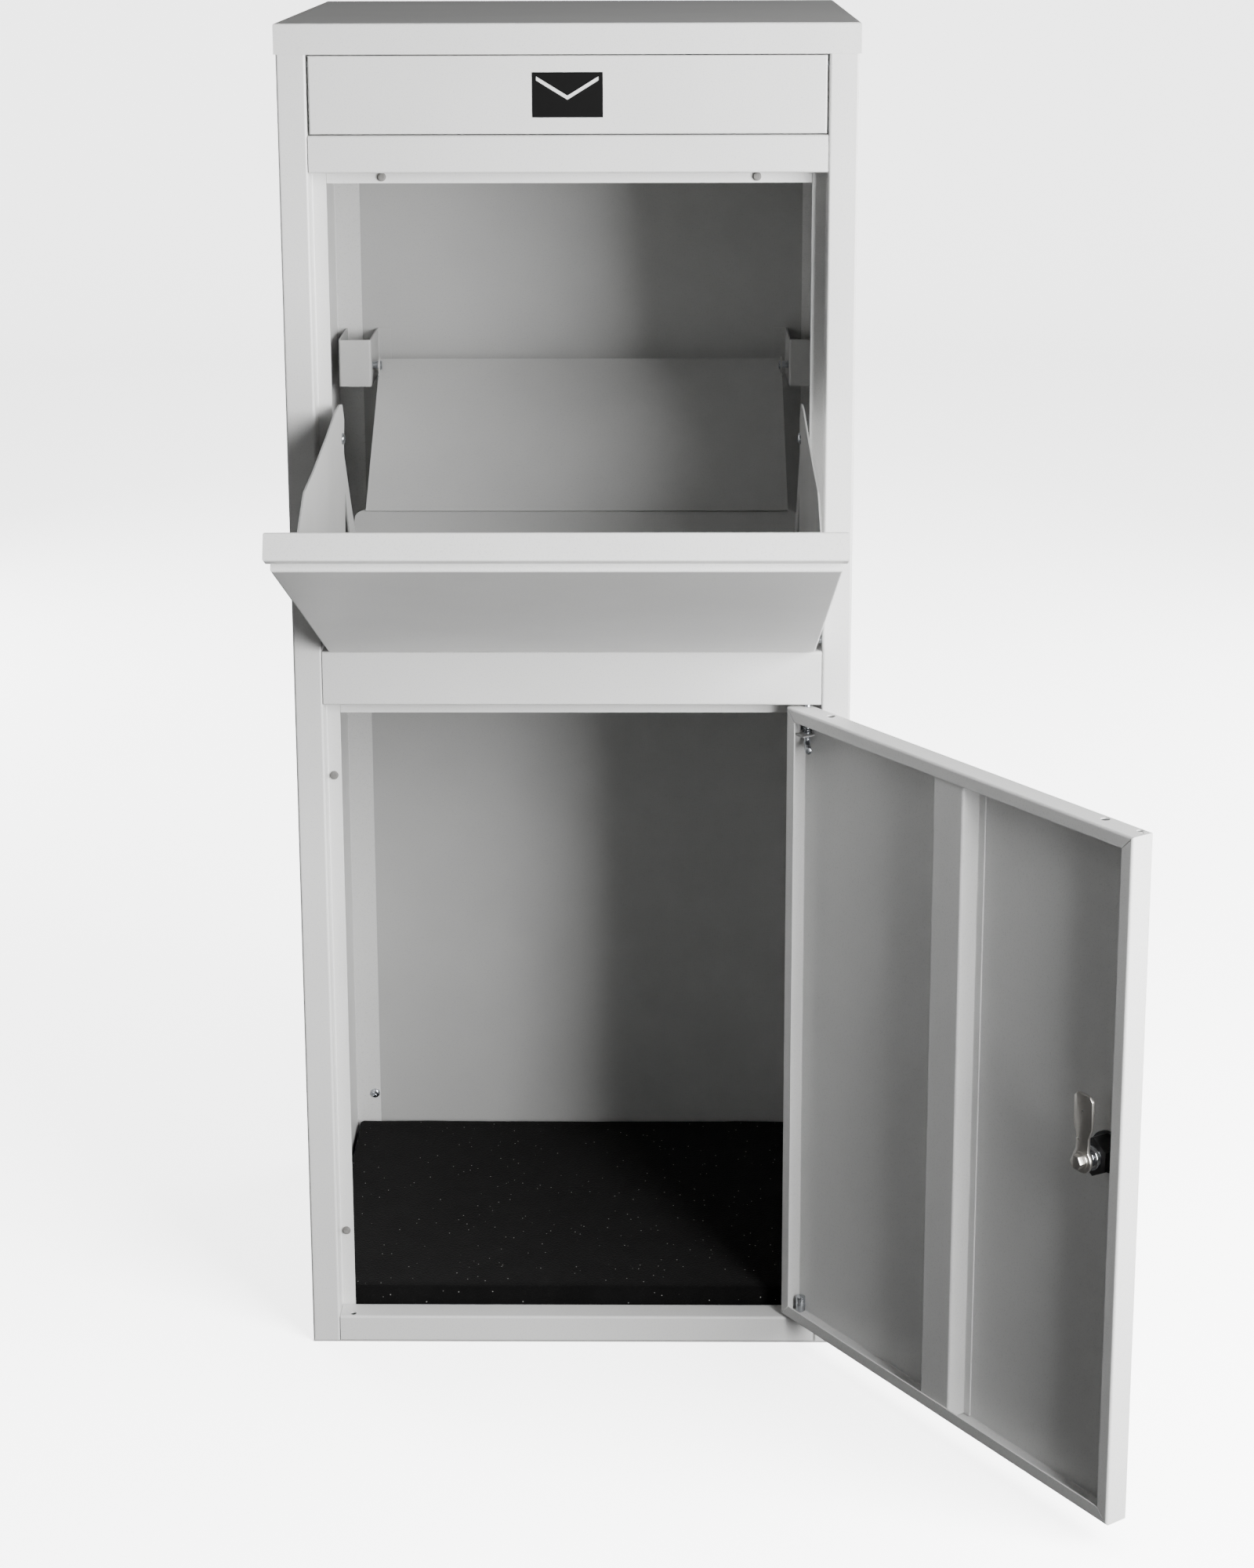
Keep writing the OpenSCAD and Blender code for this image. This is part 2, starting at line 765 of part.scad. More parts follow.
module hinge_washer() {
    at = [hinge_x, door_axis_in];
    color("white") swung_door() difference() {
        rod_z(z_door + 0.1, door_z0, at, pin_r + 2);
        rod_z(z_door - 1, door_z0 + 1, at, pin_r);
    }
}

module lock_barrel() {
    at = [lock_x, lock_z];
    color("silver") swung_door() difference() {
        union() {
            rod_y(-2.5, 0, at, barrel_r + 2);
            rod_y(0, door_t + 1.5, at, barrel_r);
        }
        rod_y(-3, door_t + 2, at, plug_r + running);
    }
}

module lock_nut() {
    at = [lock_x, lock_z];
    color("black") swung_door() difference() {
        union() {
            rod_y(sheet, sheet + 3, at, 15);
            translate([at[0], sheet + 3, at[1]]) rotate([-90, 30, 0])
                cylinder(h = 13, r = 14.4, $fn = 6);
        }
        rod_y(0, door_t, at, barrel_r);
    }
}

module lock_plug() {
    at = [lock_x, lock_z];
    slot = [1.6, 4, 7];
    color("silver") swung_door() difference() {
        rod_y(-2.8, cam_y, at, plug_r);
        translate([at[0] - slot[0] / 2, -3, at[1] - slot[2] / 2]) cube(slot);
    }
}

// Cam with a broad tip, pointing up when the lock is open
module lock_cam() {
    half_tip = 9;
    half_neck = 6;
    color("silver") swung_door() translate([lock_x, 0, lock_z]) difference() {
        union() {
            rod_y(cam_y, cam_y + cam_t, [0, 0], 9);
            along_y(cam_y, cam_y + cam_t) polygon([
                [-half_neck, 0], [-half_neck, 18], [-half_tip, 25],
                [-half_tip, cam_len - 3], [-half_tip + 3, cam_len],
                [half_tip - 3, cam_len], [half_tip, cam_len - 3],
                [half_tip, 25], [half_neck, 18], [half_neck, 0]
            ]);
        }
        rod_y(cam_y - 1, cam_y + cam_t + 1, [0, 0], 3);
    }
}

module cam_washer() {
    at = [lock_x, lock_z];
    color("silver") swung_door() difference() {
        rod_y(cam_y + cam_t, cam_y + cam_t + 1.2, at, 6.5);
        rod_y(cam_y, cam_y + cam_t + 2, at, 3);
    }
}

module cam_screw() {
    at = [lock_x, lock_z];
    head = cam_y + cam_t + 1.2;
    color("silver") swung_door() {
        rod_y(cam_y, head, at, 3);
        translate([at[0], head, at[1]]) rotate([-90, 0, 0]) cylinder(h = 4.5, r = 5.4, $fn = 6);
    }
}

left_side_panel();
right_side_panel();
back_panel();
top_cap();
base_tray();
bottom_rail();
middle_rail();
letter_rail();
floor_mat();
door_buffers();
flap_buffers();
back_panel_screws();
left_guard_bracket();
right_guard_bracket();
letter_flap();
letter_flap_rod();
letter_flap_spring();
envelope_symbol();
flap_pan();
flap_grip_rail();
left_wing();
right_wing();
hopper_floor();
stop_screws();
stop_sleeves();
flap_hinge_pins();
guard_plate();
guard_pins();
door_pan();
door_stiffener();
upper_hinge_bracket();
hinge_pin_spring();
upper_hinge_pin();
lower_hinge_pin();
hinge_washer();
lock_barrel();
lock_nut();
lock_plug();
lock_cam();
cam_screw();
cam_washer();
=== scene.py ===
"""Looks of a parcel drop box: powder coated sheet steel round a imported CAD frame.

The frame gives every panel its shape and place. This script dresses the panels, models the small
hardware and the foam mat in more detail than the frame has, and sets up a plain studio.
Lengths are in metres; class fields whose names end in _mm are in millimetres.
"""

import json
import logging
import math
from abc import ABC, abstractmethod
from dataclasses import dataclass, field
from enum import Enum
from typing import Iterable

import bmesh
import bpy
from mathutils import Matrix, Vector


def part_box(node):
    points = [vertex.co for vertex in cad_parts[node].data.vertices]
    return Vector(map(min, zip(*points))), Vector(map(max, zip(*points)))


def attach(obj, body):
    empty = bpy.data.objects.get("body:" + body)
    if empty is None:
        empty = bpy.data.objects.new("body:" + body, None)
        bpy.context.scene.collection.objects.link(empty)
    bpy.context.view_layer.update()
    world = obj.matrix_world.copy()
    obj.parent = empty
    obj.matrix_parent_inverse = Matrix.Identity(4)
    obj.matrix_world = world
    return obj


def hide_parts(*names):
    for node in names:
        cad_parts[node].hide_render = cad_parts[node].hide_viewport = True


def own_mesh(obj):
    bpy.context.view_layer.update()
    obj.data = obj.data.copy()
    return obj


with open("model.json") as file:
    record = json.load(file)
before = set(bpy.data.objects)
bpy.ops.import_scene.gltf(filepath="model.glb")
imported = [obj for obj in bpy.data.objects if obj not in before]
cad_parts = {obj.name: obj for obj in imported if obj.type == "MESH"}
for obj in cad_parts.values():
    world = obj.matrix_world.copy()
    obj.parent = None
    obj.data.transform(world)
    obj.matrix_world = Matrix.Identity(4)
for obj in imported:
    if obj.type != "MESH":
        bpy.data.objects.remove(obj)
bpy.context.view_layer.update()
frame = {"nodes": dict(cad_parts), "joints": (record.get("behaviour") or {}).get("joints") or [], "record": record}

LOG = logging.getLogger("drop_box")
MM = 0.001
# Vertices closer than this are one.
MERGE_GAP = 2e-6
# Edges flatter than this are shaded smooth, and edges sharper than the other are rounded.
SMOOTH_BELOW_DEG = 35.0
ROUND_ABOVE_DEG = 40.0
# Coarse facets of thin wire and of the wide sweep turn by up to this, and still look round.
ROUND_WIRE_DEG = 60.0
# A noise value hardly leaves this span, so it is stretched to fill a whole range.
NOISE_SPAN = {"From Min": 0.3, "From Max": 0.7}
NOISE_ROUGHNESS = 0.55
# The Mix node's colour sockets by number, as their names repeat.
MIX_FIRST, MIX_SECOND, MIX_RESULT = 6, 7, 2


# ---------------------------------------------------------------- nodes and colours


def linear(hex_code: str) -> tuple[float, float, float, float]:
    """Turns an sRGB hex colour into linear RGBA.

    Args:
        hex_code: The colour as six hex digits.

    Returns:
        Red, green, blue and alpha for a colour socket.
    """
    channels = [int(hex_code[i:i + 2], 16) / 255 for i in (0, 2, 4)]
    rgb = [c / 12.92 if c <= 0.04045 else ((c + 0.055) / 1.055) ** 2.4 for c in channels]
    return rgb[0], rgb[1], rgb[2], 1.0


def add_node(
    tree: bpy.types.NodeTree, kind: str, inputs: dict | None = None, **settings: object
) -> bpy.types.Node:
    """Adds a node with its settings and links.

    Args:
        tree: The node tree that gets the node.
        kind: The node's type name.
        inputs: Socket name or number to a value, or to the output socket to link.
        **settings: Properties of the node itself.

    Returns:
        The new node.
    """
    node = tree.nodes.new(kind)
    for key, value in settings.items():
        setattr(node, key, value)
    for key, value in (inputs or {}).items():
        if isinstance(value, bpy.types.NodeSocket):
            tree.links.new(value, node.inputs[key])
        else:
            node.inputs[key].default_value = value
    return node


def per_metre(size_mm: float) -> float:
    """Texture scale whose features are about size_mm across."""
    return 1.0 / (size_mm * MM)


# ---------------------------------------------------------------- finishes


class Slot(Enum):
    """The record's material slots."""

    POWDER_COAT = "powder_coat"
    POWDER_COAT_INSIDE = "powder_coat_inside"
    FOAM = "foam"
    BUFFER_RUBBER = "buffer_rubber"
    BLACK_RUBBER = "black_rubber"
    ZINC = "zinc"
    SPRING_STEEL = "spring_steel"
    SYMBOL_BLACK = "symbol_black"
    NYLON = "nylon"
    CHROME = "chrome"
    NICKEL = "nickel"
    BLACK_ZINC = "black_zinc"


@dataclass(frozen=True)
class Relief:
    """One layer of fine unevenness: its size across, its depth and how strongly it shows."""

    size_mm: float
    depth_mm: float
    strength: float
    detail: float = 2.0


@dataclass(frozen=True)
class Finish(ABC):
    """One finish: the two tones that it wanders between, and its roughness."""

    name: str
    tone: str
    other_tone: str
    roughness: float

    @abstractmethod
    def sockets(self, tree: bpy.types.NodeTree, place: bpy.types.NodeSocket) -> dict:
        """Builds the finish's nodes.

        Args:
            tree: The material's node tree.
            place: Object coordinates, in metres.

        Returns:
            Principled socket names to values or output sockets.
        """

    def material(self) -> bpy.types.Material:
        """Makes the material the first time, and finds it from then on.

        Returns:
            The finish as a material.
        """
        made = bpy.data.materials.get(self.name)
        if made is not None:
            return made
        made = bpy.data.materials.new(self.name)
        made.use_nodes = True
        tree = made.node_tree
        tree.nodes.clear()
        place = add_node(tree, "ShaderNodeTexCoord").outputs["Object"]
        shader = add_node(tree, "ShaderNodeBsdfPrincipled", self.sockets(tree, place))
        add_node(tree, "ShaderNodeOutputMaterial", {"Surface": shader.outputs["BSDF"]})
        return made

    def patches(
        self, tree: bpy.types.NodeTree, place: bpy.types.NodeSocket,
        size_mm: float, detail: float, duller: tuple[float, float],
    ) -> dict:
        """Soft patches that change the colour and the roughness together.

        Args:
            tree: The material's node tree.
            place: Coordinates in metres.
            size_mm: Size of the broadest patches.
            detail: How many finer octaves are added.
            duller: What the roughness gains in the first and in the other tone.

        Returns:
            What feeds "Base Color" and "Roughness".
        """
        clouds = add_node(tree, "ShaderNodeTexNoise", {
            "Vector": place, "Scale": per_metre(size_mm), "Detail": detail,
            "Roughness": NOISE_ROUGHNESS,
        }).outputs["Fac"]
        share = add_node(tree, "ShaderNodeMapRange", {"Value": clouds, **NOISE_SPAN}, clamp=True)
        tone = add_node(tree, "ShaderNodeMix", {
            "Factor": share.outputs["Result"],
            MIX_FIRST: linear(self.tone), MIX_SECOND: linear(self.other_tone),
        }, data_type="RGBA")
        roughness = add_node(tree, "ShaderNodeMapRange", {
            "Value": clouds, **NOISE_SPAN,
            "To Min": self.roughness + duller[0], "To Max": self.roughness + duller[1],
        }, clamp=True)
        return {"Base Color": tone.outputs[MIX_RESULT], "Roughness": roughness.outputs["Result"]}

    def relief(
        self, tree: bpy.types.NodeTree, place: bpy.types.NodeSocket, *layers: Relief
    ) -> dict:
        """Layers of unevenness, each laid over the one before.

        Args:
            tree: The material's node tree.
            place: Coordinates in metres.
            *layers: The layers, the broadest first.

        Returns:
            What feeds "Normal".
        """
        normal: dict = {}
        for layer in layers:
            height = add_node(tree, "ShaderNodeTexNoise", {
                "Vector": place, "Scale": per_metre(layer.size_mm), "Detail": layer.detail,
                "Roughness": NOISE_ROUGHNESS,
            })
            bump = add_node(tree, "ShaderNodeBump", {
                "Height": height.outputs["Fac"], "Strength": layer.strength,
                "Distance": layer.depth_mm * MM, **normal,
            })
            normal = {"Normal": bump.outputs["Normal"]}
        return normal


@dataclass(frozen=True)
class PowderCoat(Finish):
    """Polyester powder coat, sprayed dry and baked on steel sheet.

    It gives the eye a satin, slightly broken highlight: the melted grains leave an orange peel a
    few millimetres across and a fine speckle, and the film's thickness makes broad clouds that
    hardly show. The grains are drawn coarser than the real tenth of a millimetre, so that they
    show.
    """

    cloud_mm: float = 130.0
    duller: tuple[float, float] = (-0.02, 0.02)
    peel: Relief = Relief(3.2, 0.08, 0.25)
    grain: Relief = Relief(1.2, 0.05, 0.4, 1.0)
    speck_mm: float = 1.0
    speck_tone: str = "6E6E6D"
    speck_from: tuple[float, float] = (0.58, 0.8)
    speck_strength: float = 0.14

    def sockets(self, tree: bpy.types.NodeTree, place: bpy.types.NodeSocket) -> dict:
        """Clouds and specks in the colour, orange peel and grain in the normal.

        Args:
            tree: The material's node tree.
            place: Object coordinates, in metres.

        Returns:
            Principled socket names to values or output sockets.
        """
        coat = self.patches(tree, place, self.cloud_mm, 3.0, self.duller)
        specks = add_node(tree, "ShaderNodeTexNoise", {
            "Vector": place, "Scale": per_metre(self.speck_mm), "Detail": 0.0,
        })
        share = add_node(tree, "ShaderNodeMapRange", {
            "Value": specks.outputs["Fac"],
            "From Min": self.speck_from[0], "From Max": self.speck_from[1],
            "To Min": 0.0, "To Max": self.speck_strength,
        }, clamp=True)
        colour = add_node(tree, "ShaderNodeMix", {
            "Factor": share.outputs["Result"],
            MIX_FIRST: coat["Base Color"], MIX_SECOND: linear(self.speck_tone),
        }, data_type="RGBA")
        return {
            "Base Color": colour.outputs[MIX_RESULT], "Roughness": coat["Roughness"],
            **self.relief(tree, place, self.peel, self.grain),
            "IOR": 1.5,
        }


@dataclass(frozen=True)
class OpenCellFoam(Finish):
    """Black polyurethane foam, cut from a block.

    Its open cells give the eye a dead matt black with a fine crumbly grain, a soft bloom at
    grazing angles, and pale specks of lint that cling to it. The cells are drawn coarser than
    the real half millimetre, so that they show.
    """

    lint_tone: str = "8E8E8C"
    worn_mm: float = 28.0
    duller: tuple[float, float] = (-0.02, 0.02)
    cell_mm: float = 1.7
    cell_depth_mm: float = 0.5
    lint_mm: float = 7.0
    lint_share: float = 0.06

    def sockets(self, tree: bpy.types.NodeTree, place: bpy.types.NodeSocket) -> dict:
        """Worn patches and lint in the colour, cells in the normal.

        Args:
            tree: The material's node tree.
            place: Object coordinates, in metres.

        Returns:
            Principled socket names to values or output sockets.
        """
        cells = add_node(
            tree, "ShaderNodeTexVoronoi", {"Vector": place, "Scale": per_metre(self.cell_mm)}
        )
        bump = add_node(tree, "ShaderNodeBump", {
            "Height": cells.outputs["Distance"], "Strength": 0.7,
            "Distance": self.cell_depth_mm * MM,
        })
        lint = add_node(
            tree, "ShaderNodeTexVoronoi", {"Vector": place, "Scale": per_metre(self.lint_mm)}
        )
        spots = add_node(tree, "ShaderNodeMapRange", {
            "Value": lint.outputs["Distance"],
            "From Min": 0.6 * self.lint_share, "From Max": 1.4 * self.lint_share,
            "To Min": 1.0, "To Max": 0.0,
        }, clamp=True)
        foam = self.patches(tree, place, self.worn_mm, 5.0, self.duller)
        colour = add_node(tree, "ShaderNodeMix", {
            "Factor": spots.outputs["Result"],
            MIX_FIRST: foam["Base Color"], MIX_SECOND: linear(self.lint_tone),
        }, data_type="RGBA")
        return {
            "Base Color": colour.outputs[MIX_RESULT], "Roughness": foam["Roughness"],
            "Specular IOR Level": 0.08, "Sheen Weight": 0.02, "Sheen Roughness": 0.6,
            "Normal": bump.outputs["Normal"],
        }


class Grain(Enum):
    """How a metal's surface was worked: how finely it is lined along X, Y and Z."""

    TURNED = (0.17, 0.17, 3.0)
    DRAWN = (3.0, 3.0, 0.17)
    PLATED = (1.0, 1.0, 1.0)


@dataclass(frozen=True)
class WorkedMetal(Finish):
    """Plated or drawn metal.

    The grain of turning, drawing or plating stretches the highlight along one way, and handling
    leaves patches that are a little duller.
    """

    grain: Grain = Grain.PLATED
    lines: Relief = Relief(0.5, 0.02, 0.3, 1.0)
    patch_mm: float = 9.0
    duller: tuple[float, float] = (-0.03, 0.05)

    def sockets(self, tree: bpy.types.NodeTree, place: bpy.types.NodeSocket) -> dict:
        """Dull patches in colour and gloss, fine lines in the normal.

        Args:
            tree: The material's node tree.
            place: Object coordinates, in metres.

        Returns:
            Principled socket names to values or output sockets.
        """
        stretched = add_node(
            tree, "ShaderNodeMapping", {"Vector": place, "Scale": self.grain.value}
        ).outputs["Vector"]
        return {
            **self.patches(tree, place, self.patch_mm, 3.0, self.duller),
            **self.relief(tree, stretched, self.lines),
            "Metallic": 1.0,
        }


@dataclass(frozen=True)
class MouldedPlastic(Finish):
    """Moulded rubber or nylon, lacquer, or cut vinyl film.

    It gives the eye a soft, even sheen over a fine mould texture, with a trace of dust in it.
    """

    texture: Relief = Relief(0.6, 0.04, 0.3)
    dust_mm: float = 5.0
    duller: tuple[float, float] = (-0.05, 0.08)
    specular: float = 0.5

    def sockets(self, tree: bpy.types.NodeTree, place: bpy.types.NodeSocket) -> dict:
        """Dust in colour and gloss, mould texture in the normal.

        Args:
            tree: The material's node tree.
            place: Object coordinates, in metres.

        Returns:
            Principled socket names to values or output sockets.
        """
        return {
            **self.patches(tree, place, self.dust_mm, 4.0, self.duller),
            **self.relief(tree, place, self.texture),
            "IOR": 1.5, "Specular IOR Level": self.specular,
        }


FINISHES: dict[Slot, Finish] = {
    # Powder coat over folded sheet: pale grey satin outside. Inside, the darker tone is painted shade
    # for the dim interior, and the coat is given a higher roughness there.
    Slot.POWDER_COAT: PowderCoat("powder_coated_steel", "CFCFCE", "C9C9C8", 0.42),
    Slot.POWDER_COAT_INSIDE: PowderCoat("powder_coated_steel_inside_painted_shade", "A8A8A7", "A0A09F", 0.52),
    Slot.FOAM: OpenCellFoam("open_cell_foam", "040404", "0A0A0A", 0.95),
    # Rubber: chalky where it has been handled, black on the sleeves and grey on the buffers.
    Slot.BUFFER_RUBBER: MouldedPlastic("moulded_grey_rubber", "5C5B59", "737270", 0.55),
    Slot.BLACK_RUBBER: MouldedPlastic("moulded_black_rubber", "1D1D1D", "343433", 0.6),
    # Zinc plate is cool and bright in small patches; bare spring wire is dull, lined along Z.
    Slot.ZINC: WorkedMetal("bright_zinc_plate", "C4C7CC", "A9ACB0", 0.27),
    Slot.SPRING_STEEL: WorkedMetal("drawn_spring_wire", "8B8C8E", "6E6F72", 0.34, Grain.DRAWN),
    # Matt film, which stays black under any light.
    Slot.SYMBOL_BLACK: MouldedPlastic("cut_vinyl_film", "020202", "050505", 0.7, specular=0.12),
    # Natural nylon is a warm, waxy white.
    Slot.NYLON: MouldedPlastic("moulded_nylon", "DDDCD6", "CFCEC8", 0.45),
    # The lock: chrome mirrors, brushed nickel holds a soft warm streak, lacquer is glossy black.
    Slot.CHROME: WorkedMetal("polished_chrome_plate", "DADCE0", "CDCFD3", 0.12, Grain.TURNED),
    Slot.NICKEL: WorkedMetal(
        "brushed_nickel_plate", "D2CFCA", "C8C5C0", 0.3, Grain.DRAWN, Relief(0.5, 0.006, 0.3, 1.0)
    ),
    Slot.BLACK_ZINC: MouldedPlastic("black_lacquered_zinc", "151516", "242425", 0.42),
}


# ---------------------------------------------------------------- modelling helpers


def deselect() -> None:
    """Leaves nothing selected, as the next operator acts on all that is."""
    if bpy.context.object is not None and bpy.context.object.mode != "OBJECT":
        bpy.ops.object.mode_set(mode="OBJECT")
    bpy.ops.object.select_all(action="DESELECT")


def activate(piece: bpy.types.Object) -> None:
    """Makes a piece the only selected and the active object.

    Args:
        piece: The piece that the next operators work on.
    """
    deselect()
    piece.select_set(True)
    bpy.context.view_layer.objects.active = piece


def apply_modifiers(piece: bpy.types.Object) -> None:
    """Applies every modifier of a piece, in order.

    Args:
        piece: The piece, which becomes the active object.
    """
    activate(piece)
    for name in [m.name for m in piece.modifiers]:
        bpy.ops.object.modifier_apply(modifier=name)


def settle(piece: bpy.types.Object, place: Matrix | None = None) -> bpy.types.Object:
    """Puts a piece's place into its mesh, so that its object sits at the origin.

    Args:
        piece: The finished piece.
        place: Where the piece's own frame goes, if it isn't there yet.

    Returns:
        The same piece.
    """
    activate(piece)
    if place is not None:
        piece.matrix_world = place @ piece.matrix_world
    bpy.ops.object.transform_apply(location=True, rotation=True, scale=True)
    return piece


def smooth(piece: bpy.types.Object, angle_deg: float = SMOOTH_BELOW_DEG) -> None:
    """Shades a piece smooth across edges flatter than an angle."""
    activate(piece)
    bpy.ops.object.shade_smooth_by_angle(angle=math.radians(angle_deg))


def edges_soft(piece: bpy.types.Object, width: float, segments: int = 2) -> None:
    """Rounds a piece's sharp edges with an applied bevel.

    Args:
        piece: The piece, whose doubles are merged.
        width: Width of the bevel.
        segments: Facets across the bevel.
    """
    bevel = piece.modifiers.new("soft_edges", "BEVEL")
    bevel.width, bevel.segments = width, segments
    bevel.limit_method, bevel.angle_limit = "ANGLE", math.radians(ROUND_ABOVE_DEG)
    apply_modifiers(piece)


def frame_of(origin: Vector, along: Vector, towards: Vector) -> Matrix:
    """A frame whose Z runs along one direction and whose X leans towards another.

    Args:
        origin: The frame's origin.
        along: Direction of Z.
        towards: Direction that X comes closest to.

    Returns:
        The frame as a matrix.
    """
    z = along.normalized()
    x = (towards - towards.dot(z) * z).normalized()
    y = z.cross(x)
    turn = Matrix((x, y, z)).transposed().to_4x4()
    return Matrix.Translation(origin) @ turn


def fresh(name: str) -> bpy.types.Object:
    """Names the primitive just added.

    Args:
        name: The name for the object and its mesh.

    Returns:
        The primitive's object.
    """
    piece = bpy.context.object
    piece.name = piece.data.name = name
    return piece


def turned_profile(
    name: str, profile: Iterable[tuple[float, float]], sides: int = 32
) -> bpy.types.Object:
    """A turned piece about Z: a disc extruded and resized ring by ring.

    Args:
        name: The piece's name.
        profile: Radius and height of each ring, upwards, in metres.
        sides: Facets round the piece.

    Returns:
        The closed piece, standing on the first ring.
    """
    rings = list(profile)
    deselect()
    radius, height = rings[0]
    bpy.ops.mesh.primitive_circle_add(
        vertices=sides, radius=radius, fill_type="NGON", location=(0, 0, height)
    )
    piece = fresh(name)
    bpy.ops.object.transform_apply(location=True, rotation=False, scale=False)
    bpy.ops.object.mode_set(mode="EDIT")
    for new_radius, new_height in rings[1:]:
        bpy.ops.mesh.extrude_region_move(
            TRANSFORM_OT_translate={"value": (0, 0, new_height - height)}
        )
        share = new_radius / radius
        bpy.ops.transform.resize(value=(share, share, 1), center_override=(0, 0, new_height))
        radius, height = new_radius, new_height
    bpy.ops.mesh.select_all(action="SELECT")
    bpy.ops.mesh.normals_make_consistent(inside=False)
    bpy.ops.object.mode_set(mode="OBJECT")
    smooth(piece)
    return piece


def cut(piece: bpy.types.Object, tools: list[bpy.types.Object]) -> None:
    """Cuts tools out of a piece and removes them.

    Args:
        piece: The piece to cut.
        tools: Closed objects whose space is taken out of it.
    """
    for number, tool in enumerate(tools):
        boolean = piece.modifiers.new(f"cut_{number}", "BOOLEAN")
        boolean.operation, boolean.object, boolean.solver = "DIFFERENCE", tool, "EXACT"
    apply_modifiers(piece)
    for tool in tools:
        bpy.data.objects.remove(tool)


def bar(
    name: str, size: tuple[float, float, float], at: tuple[float, float, float]
) -> bpy.types.Object:
    """A square bar of a size, centred on a place.

    Args:
        name: The bar's name.
        size: Its length along X, Y and Z.
        at: Its middle.

    Returns:
        The bar, with its place in its mesh.
    """
    deselect()
    bpy.ops.mesh.primitive_cube_add(size=1, location=at)
    piece = fresh(name)
    piece.scale = size
    bpy.ops.object.transform_apply(location=True, rotation=False, scale=True)
    return piece


def copy_of(model: bpy.types.Object, name: str, place: Matrix) -> bpy.types.Object:
    """A copy of a model with its own mesh, put at a place.

    Args:
        model: The piece to copy.
        name: The copy's name.
        place: Where the model's own frame goes.

    Returns:
        The copy, with its place in its mesh.
    """
    piece = bpy.data.objects.new(name, model.data.copy())
    piece.data.name = name
    bpy.context.scene.collection.objects.link(piece)
    return settle(piece, place)


def coil(
    name: str, coil_r: float, wire_r: float, turns: int, height: float,
    wire_sides: int = 10, steps: int = 28,
) -> bpy.types.Object:
    """A helical spring about Z, standing on the plane Z = 0.

    Args:
        name: The piece's name.
        coil_r: Radius of the wire's middle line.
        wire_r: Radius of the wire.
        turns: Number of turns.
        height: Height over both ends of the wire.
        wire_sides: Facets round the wire.
        steps: Facets round each turn.

    Returns:
        The closed spring.
    """
    deselect()
    bpy.ops.mesh.primitive_circle_add(
        vertices=wire_sides, radius=wire_r, fill_type="NOTHING",
        location=(coil_r, 0, wire_r), rotation=(math.pi / 2, 0, 0),
    )
    piece = fresh(name)
    bpy.ops.object.transform_apply(location=True, rotation=True, scale=False)
    winding = piece.modifiers.new("winding", "SCREW")
    winding.angle = 2 * math.pi
    winding.screw_offset = (height - 2 * wire_r) / turns
    winding.iterations = turns
    winding.steps = winding.render_steps = steps
    winding.use_merge_vertices = False
    apply_modifiers(piece)
    bpy.ops.object.mode_set(mode="EDIT")
    bpy.ops.mesh.select_all(action="SELECT")
    bpy.ops.mesh.remove_doubles(threshold=MERGE_GAP)
    bpy.ops.mesh.select_all(action="DESELECT")
    bpy.ops.mesh.select_mode(type="EDGE")
    bpy.ops.mesh.select_non_manifold()
    bpy.ops.mesh.edge_face_add()
    bpy.ops.mesh.select_all(action="SELECT")
    bpy.ops.mesh.normals_make_consistent(inside=False)
    bpy.ops.object.mode_set(mode="OBJECT")
    smooth(piece, ROUND_WIRE_DEG)
    return piece


def merged_copy(node: str, name: str) -> bpy.types.Object:
    """A copy of a CAD node with its loose triangles merged into clean faces.

    Args:
        node: The CAD node's name.
        name: The new piece's name.

    Returns:
        The copy, which nothing stands for yet.
    """
    deselect()
    source = frame["nodes"][node]
    piece = bpy.data.objects.new(name, source.data.copy())
    piece.data.name = name
    piece.data.materials.clear()
    bpy.context.scene.collection.objects.link(piece)
    activate(piece)
    if piece.data.has_custom_normals:
        bpy.ops.mesh.customdata_custom_splitnormals_clear()
    bpy.ops.object.mode_set(mode="EDIT")
    bpy.ops.mesh.select_all(action="SELECT")
    bpy.ops.mesh.remove_doubles(threshold=MERGE_GAP)
    bpy.ops.mesh.dissolve_limited(angle_limit=math.radians(1.0))
    bpy.ops.object.mode_set(mode="OBJECT")
    return piece


def finish_piece(
    piece: bpy.types.Object, body: str, slot: Slot, stands_for: Iterable[str] = ()
) -> bpy.types.Object:
    """Gives a new piece its finish and its body, and hides what it stands for.

    Args:
        piece: The settled piece.
        body: The CAD body that it rides on.
        slot: The material slot that it takes its finish from.
        stands_for: CAD nodes that it replaces.

    Returns:
        The same piece.
    """
    piece.data.materials.clear()
    piece.data.materials.append(FINISHES[slot].material())
    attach(piece, body)
    names = list(stands_for)
    if names:
        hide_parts(*names)
    LOG.info("%s rides on %s in %s", piece.name, body, FINISHES[slot].name)
    return piece


def softened(node: str, body: str, slot: Slot, width: float) -> bpy.types.Object:
    """Replaces a CAD node by the same shape with softly rounded edges.

    Args:
        node: The CAD node's name.
        body: The CAD body that it rides on.
        slot: The material slot that it takes its finish from.
        width: Width of the rounded edges.

    Returns:
        The new piece.
    """
    piece = merged_copy(node, f"{node}_soft")
    edges_soft(piece, width)
    smooth(piece)
    return finish_piece(piece, body, slot, [node])


def dress_cad_nodes() -> None:
    """Gives every shown CAD node the finish of its material slot."""
    slots = {part["node"]: Slot(part["material_slot"]) for part in frame["record"]["subparts"]}
    for name, node in frame["nodes"].items():
        if node.hide_render:
            continue
        finish = FINISHES[slots[name]].material()
        node.data.materials.clear()
        node.data.materials.append(finish)
        LOG.info("%s is dressed in %s", name, finish.name)


